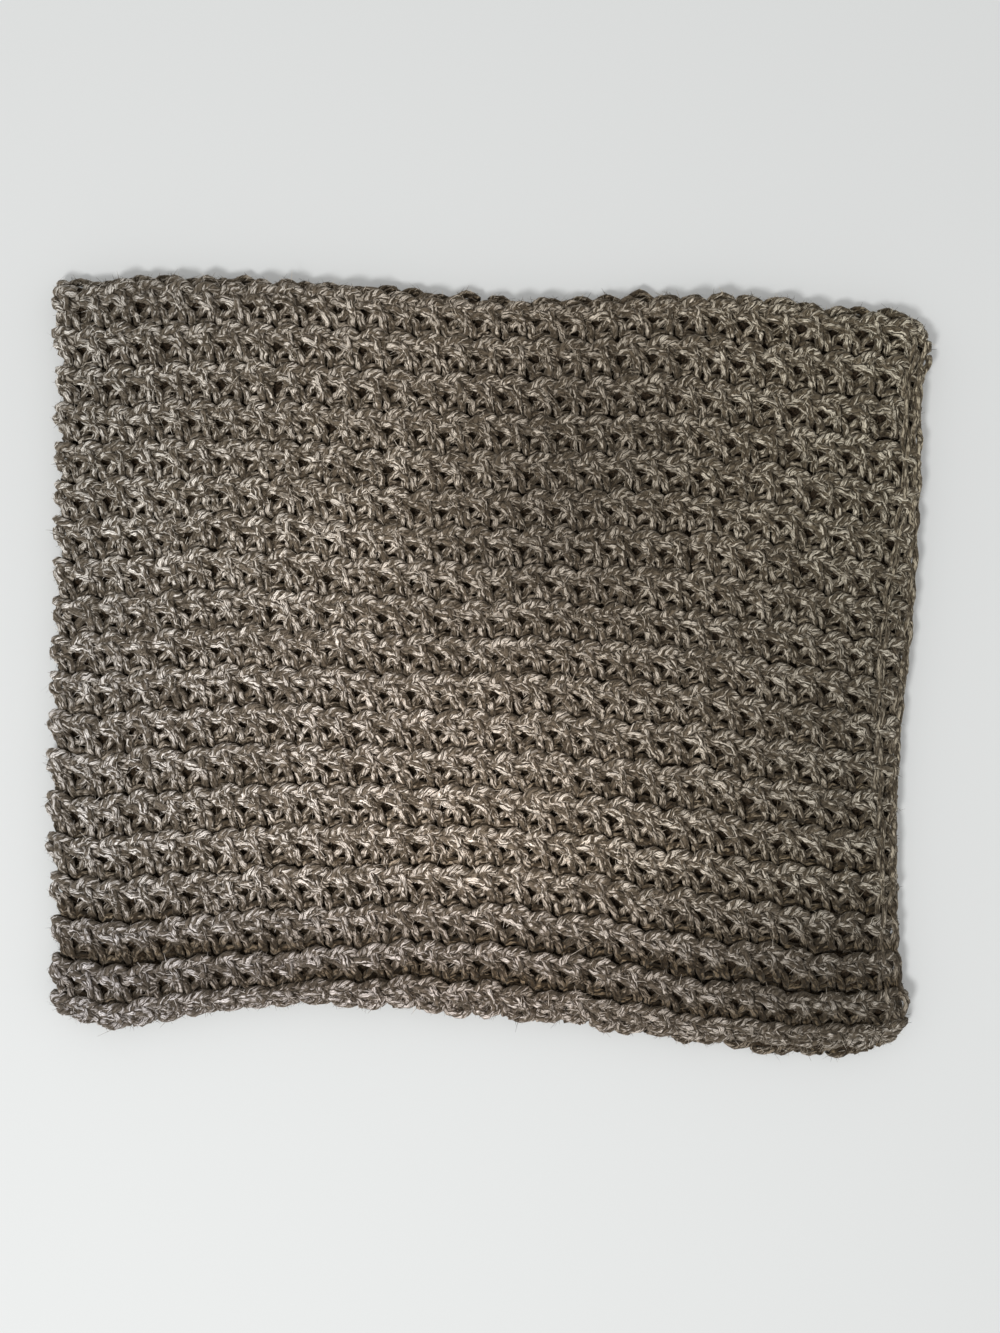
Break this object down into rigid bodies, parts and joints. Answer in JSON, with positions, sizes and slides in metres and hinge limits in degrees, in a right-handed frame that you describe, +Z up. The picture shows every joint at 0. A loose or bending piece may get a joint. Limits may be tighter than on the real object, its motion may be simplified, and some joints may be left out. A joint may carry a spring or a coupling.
{
  "type": "crocheted infinity scarf laid flat",
  "caption": "Ribbed crocheted tube scarf in marled taupe yarn, laid flat so that its front layer lies on its back layer.",
  "frame": {"origin": "under the middle of the scarf's outline, on the surface it lies on", "axes": "+X along the crocheted rounds, from the left fold to the right fold with the join; +Y towards the top open edge; +Z up, out of the front layer"},
  "size_m": [0.296, 0.2594, 0.0146],
  "materials": {
    "front_cloth": "matt marled taupe and beige yarn, crocheted in ridged rounds, slightly fuzzy",
    "back_cloth": "the same marled yarn, pressed flat where it rests",
    "join_yarn": "the same marled yarn in long joining stitches"
  },
  "bodies": {
    "root": {"front_panel": "front_cloth", "back_panel": "back_cloth", "join_seam": "join_yarn"}
  },
  "joints": []
}
